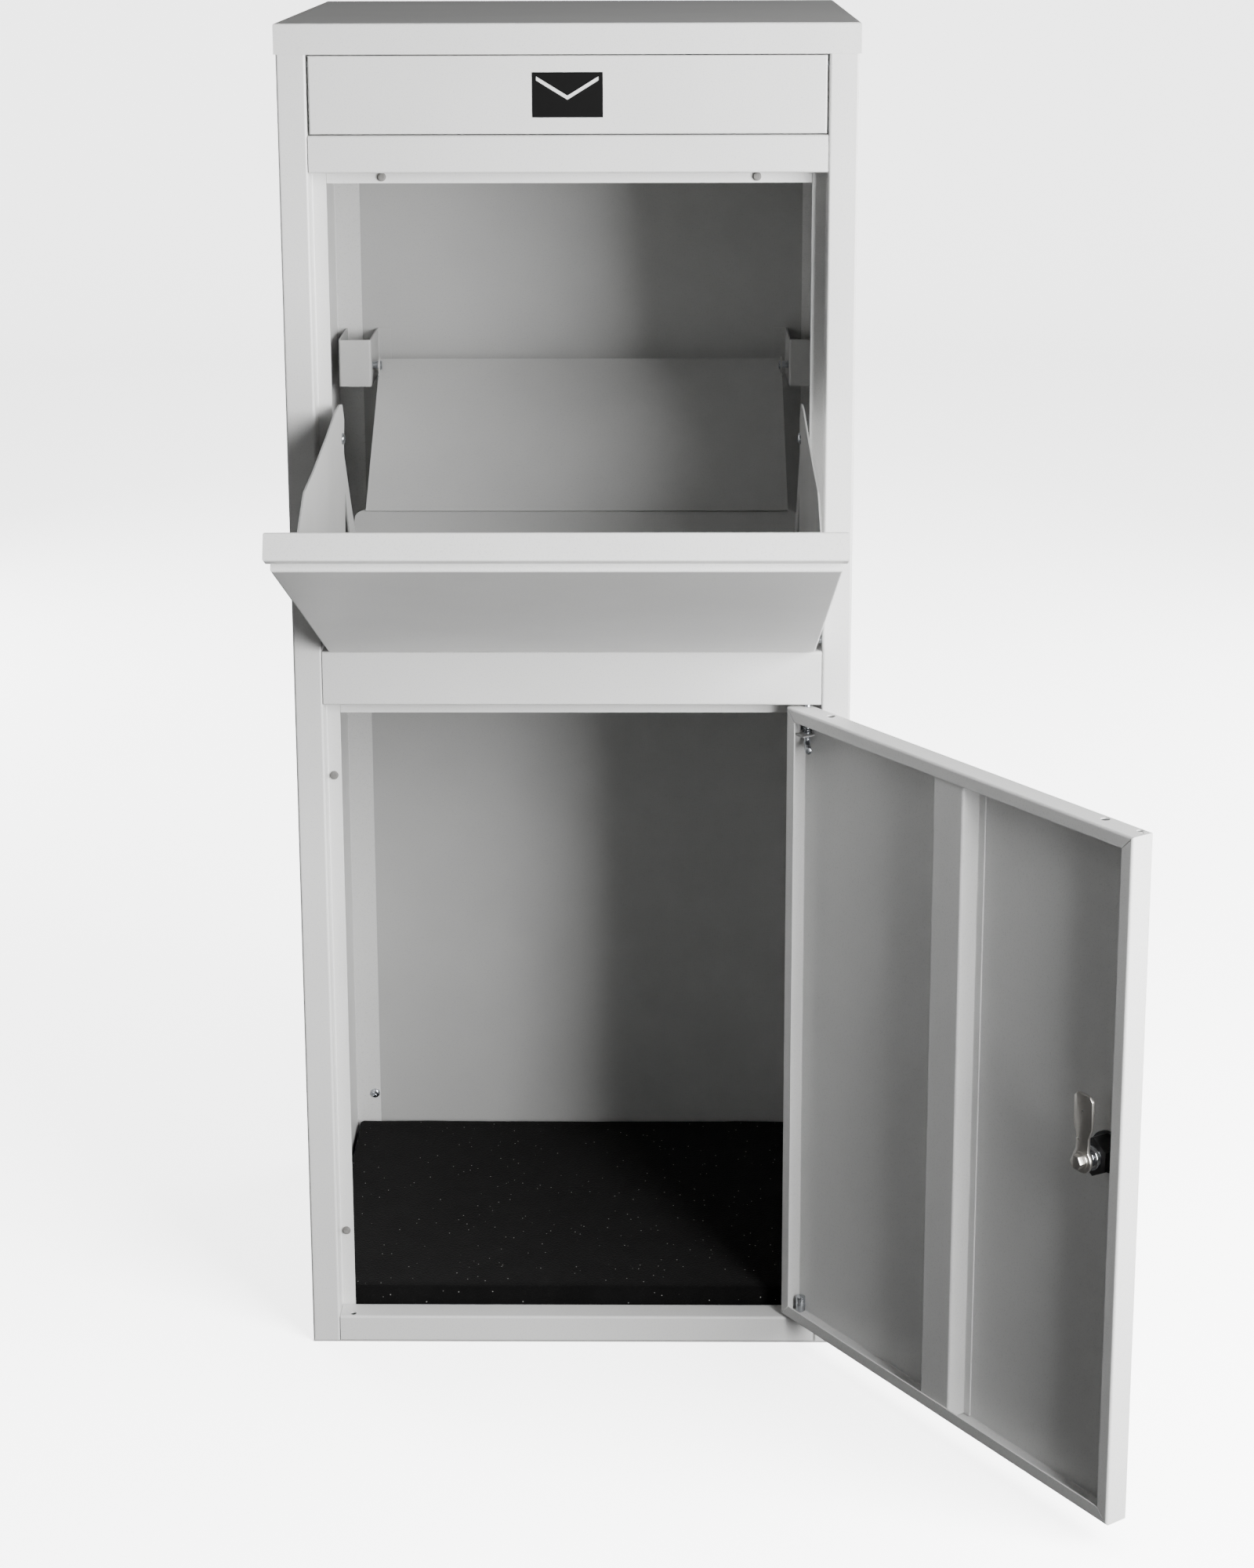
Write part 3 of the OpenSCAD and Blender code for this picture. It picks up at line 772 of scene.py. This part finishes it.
def joint_point(name: str) -> Vector:
    """A point on a joint's axis, in metres."""
    joint = next(j for j in frame["joints"] if j["name"] == name)
    return Vector(joint.get("pos_m", (0, 0, 0)))


def islands(node: str) -> list[tuple[Vector, Vector]]:
    """The boxes of a CAD node's separate solids, sorted by place.

    Args:
        node: The CAD node's name.

    Returns:
        Lowest and highest corner of each solid.
    """
    shape = bmesh.new()
    shape.from_mesh(frame["nodes"][node].data)
    bmesh.ops.remove_doubles(shape, verts=shape.verts, dist=MERGE_GAP)
    left, boxes = set(shape.verts), []
    while left:
        grown, edge = set(), [left.pop()]
        while edge:
            vert = edge.pop()
            grown.add(vert)
            for link in vert.link_edges:
                other = link.other_vert(vert)
                if other in left:
                    left.discard(other)
                    edge.append(other)
        low = Vector(min(v.co[i] for v in grown) for i in range(3))
        high = Vector(max(v.co[i] for v in grown) for i in range(3))
        boxes.append((low, high))
    shape.free()
    return sorted(boxes, key=lambda box: (round(box[0].x, 3), round(box[0].z, 3)))


# ---------------------------------------------------------------- hardware


@dataclass(frozen=True)
class DomeScrew:
    """A low dome head screw with a cross recess, standing on Z = 0."""

    head_r: float = 4.4 * MM
    head_h: float = 2.4 * MM
    slot_w: float = 1.1 * MM
    slot_l: float = 4.6 * MM
    slot_depth: float = 1.3 * MM
    rim_share: float = 0.25
    dome_deg: float = 84.0
    rings: int = 6

    def build(self, name: str) -> bpy.types.Object:
        """Models the head ring by ring and cuts its cross recess.

        Args:
            name: The screw head's name.

        Returns:
            The closed head.
        """
        rim = self.rim_share * self.head_h
        profile = [(self.head_r, 0.0), (self.head_r, rim)]
        for i in range(1, self.rings + 1):
            angle = math.radians(self.dome_deg) * i / self.rings
            profile.append((
                self.head_r * math.cos(angle), rim + (self.head_h - rim) * math.sin(angle)
            ))
        piece = turned_profile(name, profile)
        top = self.head_h
        tools = [
            bar("slot_x", (self.slot_l, self.slot_w, 2 * self.slot_depth), (0, 0, top)),
            bar("slot_y", (self.slot_w, self.slot_l, 2 * self.slot_depth), (0, 0, top)),
        ]
        cut(piece, tools)
        smooth(piece)
        return piece


@dataclass(frozen=True)
class RubberBuffer:
    """A stepped rubber bump whose foot sits on Z = 0.

    Its outline gives each ring's radius and height as shares of the foot's radius and the height:
    a thick foot, a soft shoulder and a rounded button.
    """

    foot_r: float = 3.4 * MM
    height: float = 2.2 * MM
    outline: tuple[tuple[float, float], ...] = (
        (0.97, 0.0), (1.0, 0.1), (1.0, 0.38), (0.95, 0.48),
        (0.78, 0.54), (0.76, 0.8), (0.68, 0.94), (0.5, 1.0), (0.1, 1.0),
    )

    def build(self, name: str) -> bpy.types.Object:
        """Models the bump ring by ring.

        Args:
            name: The bump's name.

        Returns:
            The closed bump.
        """
        return turned_profile(name, [(r * self.foot_r, h * self.height) for r, h in self.outline])


@dataclass
class Cabinet:
    """The folded cabinet with its foam mat, rubber buffers and panel screws."""

    body: str = "cabinet"
    screw: DomeScrew = field(default_factory=DomeScrew)
    bump: RubberBuffer = field(default_factory=RubberBuffer)
    mat_crown_mm: float = 1.4
    mat_edge_mm: float = 3.2
    mat_edge_facets: int = 3
    mat_smooth_deg: float = 50.0
    mat_fill: float = 0.9
    mat_facet_mm: float = 9.0
    mat_wave_mm: float = 50.0

    def build(self) -> None:
        """Models what the cabinet carries besides its panels."""
        self._mat()
        head = self.screw.build("panel_screw_model")
        self._repeat(head, "back_panel_screws", "panel_screw", Slot.ZINC, 3)
        for node, stem in (("door_buffers", "door_buffer"), ("flap_buffers", "flap_buffer")):
            self._repeat(self.bump.build("bump_model"), node, stem, Slot.BUFFER_RUBBER)

    def _mat(self) -> None:
        """The foam mat: a crowned block with rubbed edges and a crumbly skin."""
        low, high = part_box("floor_mat")
        size, centre = high - low, (high + low) / 2
        crown = self.mat_crown_mm * MM
        piece = bar("foam_floor_mat", (size.x, size.y, size.z - 2 * crown), centre)
        edges_soft(piece, self.mat_edge_mm * MM, self.mat_edge_facets)
        bpy.ops.object.mode_set(mode="EDIT")
        for axis in range(2):
            count = int(size[axis] / (self.mat_facet_mm * MM))
            for i in range(1, count):
                at, normal = list(low), [0.0, 0.0, 0.0]
                at[axis] = low[axis] + size[axis] * i / count
                normal[axis] = 1.0
                bpy.ops.mesh.select_all(action="SELECT")
                bpy.ops.mesh.bisect(plane_co=at, plane_no=normal)
        bpy.ops.object.mode_set(mode="OBJECT")
        skin = bpy.data.textures.new("foam_skin", "CLOUDS")
        skin.noise_scale = self.mat_wave_mm * MM
        swell = piece.modifiers.new("skin", "DISPLACE")
        swell.texture, swell.strength, swell.mid_level = skin, crown, 0.5
        swell.texture_coords = "LOCAL"
        apply_modifiers(piece)
        smooth(piece, self.mat_smooth_deg)
        finish_piece(settle(piece), self.body, Slot.FOAM, ["floor_mat"])

    def _repeat(
        self, model: bpy.types.Object, node: str, stem: str, slot: Slot, turns: int = 1
    ) -> None:
        """Puts a copy of a model at each of a node's solids, facing the front.

        Args:
            model: The piece to copy, which is removed at the end.
            node: The CAD node that the copies replace.
            stem: The copies' name, before their numbers.
            slot: The material slot that they take their finish from.
            turns: How many ways the copies are turned about their own axes.
        """
        for number, (low, high) in enumerate(islands(node), 1):
            foot = Vector(((low.x + high.x) / 2, high.y, (low.z + high.z) / 2))
            place = frame_of(foot, Vector((0, -1, 0)), Vector((1, 0, number % turns)))
            piece = copy_of(model, f"{stem}_{number}", place)
            finish_piece(piece, self.body, slot, [node] if number == 1 else [])
        bpy.data.objects.remove(model)


@dataclass
class LetterFlap:
    """The inward letter flap with its rod, torsion spring and symbol."""

    body: str = "letter_flap"
    wire_r: float = 0.5 * MM
    wire_sides: int = 10
    turns: int = 14

    def build(self) -> None:
        """Winds the torsion spring round the rod, with its leg on the flap."""
        low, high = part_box("letter_flap_spring")
        axis_point = joint_point("letter_flap_hinge")
        outer_r = high.z - axis_point.z
        length = high.x - low.x
        piece = coil("letter_flap_torsion_spring", outer_r - self.wire_r, self.wire_r,
                     self.turns, length)
        start = Vector((low.x, axis_point.y, axis_point.z))
        settle(piece, frame_of(start, Vector((1, 0, 0)), Vector((0, -1, 0))))
        leg = turned_profile(
            "letter_flap_spring_leg",
            [(self.wire_r, 0.0), (self.wire_r, axis_point.z - low.z)], self.wire_sides,
        )
        foot = Vector((high.x - self.wire_r, axis_point.y - outer_r + self.wire_r, low.z))
        settle(leg, Matrix.Translation(foot))
        finish_piece(piece, self.body, Slot.SPRING_STEEL, ["letter_flap_spring"])
        finish_piece(leg, self.body, Slot.SPRING_STEEL)


@dataclass
class ParcelHopper:
    """The tilting flap with wings and hopper floor, and its two stops."""

    body: str = "parcel_flap"
    screw: DomeScrew = field(default_factory=DomeScrew)
    shank_r: float = 2.5 * MM
    shank_chamfer: float = 0.4 * MM
    shank_sides: int = 24
    sleeve_edge: float = 0.5 * MM

    def build(self) -> None:
        """Models the stop screws with their heads and softens the sleeves."""
        low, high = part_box("stop_screws")
        y, z = (low.y + high.y) / 2, (low.z + high.z) / 2
        head = self.screw.build("stop_screw_head")
        wing_low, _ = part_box("right_wing")
        length = high.x - wing_low.x
        for side, name in ((1, "stop_screw_right"), (-1, "stop_screw_left")):
            inner = Vector((side * wing_low.x, y, z))
            facing = frame_of(inner, Vector((-side, 0, 0)), Vector((0, 1, side)))
            piece = copy_of(head, name, facing)
            shank = turned_profile(f"{name}_shank", [
                (self.shank_r, 0.0), (self.shank_r, length - self.shank_chamfer),
                (self.shank_r - self.shank_chamfer, length),
            ], self.shank_sides)
            settle(shank, frame_of(inner, Vector((side, 0, 0)), Vector((0, 1, 0))))
            activate(piece)
            shank.select_set(True)
            bpy.ops.object.join()
            finish_piece(piece, self.body, Slot.ZINC, ["stop_screws"] if side > 0 else [])
        bpy.data.objects.remove(head)
        softened("stop_sleeves", self.body, Slot.BLACK_RUBBER, self.sleeve_edge)


@dataclass
class Door:
    """The pick-up door: its lower pin, the pin spring and the fixed parts of the lock."""

    body: str = "door"
    spring_wire_r: float = 0.45 * MM
    spring_turns: int = 7
    pin_travel: float = 7 * MM
    nut_chamfer: float = 0.8 * MM
    turned_chamfer: float = 0.4 * MM

    def build(self) -> None:
        """Winds the pin spring and softens the lock's fixed parts."""
        low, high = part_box("hinge_pin_spring")
        coil_r = (high.x - low.x) / 2 - self.spring_wire_r
        length = high.z - low.z
        piece = coil("hinge_pin_coil_spring", coil_r, self.spring_wire_r, self.spring_turns, length)
        foot = Vector(((low.x + high.x) / 2, (low.y + high.y) / 2, low.z))
        settle(piece, Matrix.Translation(foot))
        finish_piece(piece, self.body, Slot.SPRING_STEEL, ["hinge_pin_spring"])
        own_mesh(piece)
        softened("lock_nut", self.body, Slot.BLACK_ZINC, self.nut_chamfer)
        softened("lock_barrel", self.body, Slot.CHROME, self.turned_chamfer)
        softened("lower_hinge_pin", self.body, Slot.ZINC, self.turned_chamfer)


@dataclass
class HingePin:
    """The spring pin: a rod that bends into a handle, with a collar for its spring."""

    body: str = "hinge_pin"
    rod_r: float = 2.5 * MM
    bend_r: float = 5.0 * MM
    elbow_steps: int = 10
    chamfer: float = 0.4 * MM
    collar_h: float = 1.5 * MM
    collar_edge: float = 0.3 * MM
    sides: int = 24

    def build(self) -> None:
        """Models the rod, and its collar where the spring ends."""
        low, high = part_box("upper_hinge_pin")
        collar_r = (high.x - low.x) / 2
        axis = Vector(((low.x + high.x) / 2, high.y - collar_r, 0))
        rod = self._rod(axis, low, high)
        finish_piece(settle(rod), self.body, Slot.ZINC, ["upper_hinge_pin"])
        edge = self.collar_edge
        collar = turned_profile("spring_pin_collar", [
            (collar_r - edge, 0.0), (collar_r, edge), (collar_r, self.collar_h - edge),
            (collar_r - edge, self.collar_h),
        ])
        spring_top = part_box("hinge_pin_spring")[1].z
        settle(collar, Matrix.Translation((axis.x, axis.y, spring_top)))
        finish_piece(collar, self.body, Slot.ZINC)

    def _rod(self, axis: Vector, low: Vector, high: Vector) -> bpy.types.Object:
        """Bends the rod: a disc is drawn down, spun round the elbow and drawn out.

        Args:
            axis: A point on the pin's axis.
            low: Lowest corner of the pin's box.
            high: Highest corner of the pin's box.

        Returns:
            The closed rod.
        """
        elbow_y, elbow_z = axis.y - self.bend_r, low.z + self.rod_r + self.bend_r
        deselect()
        bpy.ops.mesh.primitive_circle_add(
            vertices=self.sides, radius=self.rod_r, fill_type="NGON",
            location=(axis.x, axis.y, high.z),
        )
        piece = fresh("spring_hinge_pin")
        bpy.ops.object.transform_apply(location=True, rotation=False, scale=False)
        bpy.ops.object.mode_set(mode="EDIT")
        bpy.ops.mesh.extrude_region_move(
            TRANSFORM_OT_translate={"value": (0, 0, elbow_z - high.z)}
        )
        bpy.ops.mesh.spin(
            steps=self.elbow_steps, angle=math.pi / 2,
            center=(axis.x, elbow_y, elbow_z), axis=(1, 0, 0),
        )
        bpy.ops.mesh.extrude_region_move(
            TRANSFORM_OT_translate={"value": (0, low.y - elbow_y + self.chamfer, 0)}
        )
        bpy.ops.mesh.select_all(action="SELECT")
        bpy.ops.mesh.remove_doubles(threshold=MERGE_GAP)
        bpy.ops.mesh.normals_make_consistent(inside=False)
        bpy.ops.object.mode_set(mode="OBJECT")
        edges_soft(piece, self.chamfer)
        smooth(piece)
        return piece


@dataclass
class LockRotor:
    """What the key turns: plug, cam, washer and screw."""

    body: str = "lock_rotor"
    stamped_edge: float = 0.35 * MM
    turned_edge: float = 0.25 * MM

    def build(self) -> None:
        """Rounds the edges that stamping and turning leave on each of them."""
        softened("lock_cam", self.body, Slot.NICKEL, self.stamped_edge)
        softened("lock_plug", self.body, Slot.CHROME, self.turned_edge)
        softened("cam_washer", self.body, Slot.NICKEL, self.turned_edge)
        softened("cam_screw", self.body, Slot.NICKEL, self.turned_edge)


# ---------------------------------------------------------------- studio


@dataclass(frozen=True)
class SoftLight:
    """A square softbox that looks at a point."""

    name: str
    at: tuple[float, float, float]
    to: tuple[float, float, float]
    size: float
    power: float
    sweep_only: bool = False

    def build(self, sweep: bpy.types.Collection) -> None:
        """Adds the light to the scene.

        Args:
            sweep: The collection that a light for the sweep alone shines on.
        """
        data = bpy.data.lights.new(self.name, "AREA")
        data.shape, data.size, data.energy = "SQUARE", self.size, self.power
        lamp = bpy.data.objects.new(self.name, data)
        lamp.visible_camera = False
        bpy.context.scene.collection.objects.link(lamp)
        lamp.location = self.at
        aim = Vector(self.to) - Vector(self.at)
        lamp.rotation_euler = aim.to_track_quat("-Z", "Y").to_euler()
        if self.sweep_only:
            lamp.light_linking.receiver_collection = sweep


@dataclass(frozen=True)
class PaleSweep(Finish):
    """Matt white translucent paper, lit from behind and above, which takes a soft shadow."""

    glow: float = 3.0
    cloud_mm: float = 400.0
    duller: tuple[float, float] = (0.0, 0.02)

    def sockets(self, tree: bpy.types.NodeTree, place: bpy.types.NodeSocket) -> dict:
        """Almost even paper white.

        Args:
            tree: The material's node tree.
            place: Object coordinates, in metres.

        Returns:
            Principled socket names to values or output sockets.
        """
        return {
            **self.patches(tree, place, self.cloud_mm, 2.0, self.duller),
            "Specular IOR Level": 0.1,
            "Emission Color": linear(self.tone), "Emission Strength": self.glow,
        }


@dataclass
class Studio:
    """Pale floor and sweep, soft lights and the camera."""

    camera_at: tuple[float, float, float] = (0.066, -2.336, 1.167)
    yaw_deg: float = -0.62
    pitch_deg: float = -13.2
    roll_deg: float = -0.17
    lens_mm: float = 66.95
    shift_y: float = -0.15
    room_r: float = 6.0
    room_h: float = 6.0
    room_bend_r: float = 1.2
    room_sides: int = 64
    bend_facets: int = 12
    floor_below_mm: float = 0.4
    world_tone: str = "FFFFFF"
    world_strength: float = 0.07
    lights: tuple[SoftLight, ...] = (
        SoftLight("key_softbox", (1.25, -1.3, 0.95), (0.0, 0.0, 0.6), 1.3, 152.0),
        SoftLight("fill_softbox", (-2.2, -2.6, 1.2), (0.0, 0.0, 0.5), 1.6, 8.0),
        SoftLight("left_rear_softbox", (-2.0, 1.9, 0.9), (0.0, 0.0, 0.6), 1.2, 110.0),
        SoftLight("right_rear_softbox", (2.0, 1.6, 0.9), (0.0, 0.0, 0.6), 1.2, 90.0),
        SoftLight("floor_softbox", (0.0, -0.5, 4.5), (0.0, 0.0, 0.0), 4.0, 280.0, sweep_only=True),
    )

    def build(self) -> None:
        """Builds floor, light and camera."""
        sweep = self._sweep()
        self._world()
        for light in self.lights:
            light.build(sweep)
        self._camera()

    def _sweep(self) -> bpy.types.Collection:
        """A round floor that bends up into a wall all round.

        Returns:
            The collection that holds the sweep alone.
        """
        deselect()
        bpy.ops.mesh.primitive_circle_add(
            vertices=self.room_sides, radius=self.room_r, fill_type="NGON",
            location=(0, 0, -self.floor_below_mm * MM),
        )
        piece = fresh("studio_sweep")
        bpy.ops.object.transform_apply(location=True, rotation=False, scale=False)
        bpy.ops.object.mode_set(mode="EDIT")
        bpy.ops.mesh.select_mode(type="EDGE")
        bpy.ops.mesh.select_all(action="SELECT")
        bpy.ops.mesh.region_to_loop()
        bpy.ops.mesh.extrude_edges_move(
            TRANSFORM_OT_translate={"value": (0, 0, self.room_h)}
        )
        bpy.ops.object.mode_set(mode="OBJECT")
        edges_soft(piece, self.room_bend_r, self.bend_facets)
        smooth(piece, ROUND_WIRE_DEG)
        piece.data.materials.append(PaleSweep("studio_paper", "FFFFFF", "FBFBFB", 0.9).material())
        piece.visible_diffuse = piece.visible_glossy = False
        alone = bpy.data.collections.new("sweep")
        bpy.context.scene.collection.children.link(alone)
        alone.objects.link(piece)
        return alone

    def _world(self) -> None:
        """Even light from all round."""
        world = bpy.data.worlds.new("studio_air")
        world.use_nodes = True
        background = world.node_tree.nodes["Background"]
        background.inputs["Color"].default_value = linear(self.world_tone)
        background.inputs["Strength"].default_value = self.world_strength
        bpy.context.scene.world = world

    def _camera(self) -> None:
        """Camera in front of the box, a little above its middle."""
        yaw, pitch, roll = (math.radians(a) for a in (self.yaw_deg, self.pitch_deg, self.roll_deg))
        ahead = Vector((
            math.sin(yaw) * math.cos(pitch), math.cos(yaw) * math.cos(pitch), math.sin(pitch)
        ))
        level = Vector((math.cos(yaw), -math.sin(yaw), 0))
        up = level.cross(ahead)
        right = level * math.cos(roll) + up * math.sin(roll)
        data = bpy.data.cameras.new("studio_camera")
        data.lens, data.shift_y = self.lens_mm, self.shift_y
        camera = bpy.data.objects.new("studio_camera", data)
        bpy.context.scene.collection.objects.link(camera)
        turn = Matrix((right, right.cross(ahead), -ahead)).transposed().to_4x4()
        camera.matrix_world = Matrix.Translation(self.camera_at) @ turn
        bpy.context.scene.camera = camera


def main() -> None:
    """Builds the sub-assemblies in order, dresses them and sets up the studio."""
    logging.basicConfig(level=logging.INFO, format="%(name)s: %(message)s")
    for assembly in (Cabinet(), LetterFlap(), ParcelHopper(), Door(), HingePin(), LockRotor()):
        assembly.build()
    dress_cad_nodes()
    Studio().build()


if __name__ == "__main__":
    main()
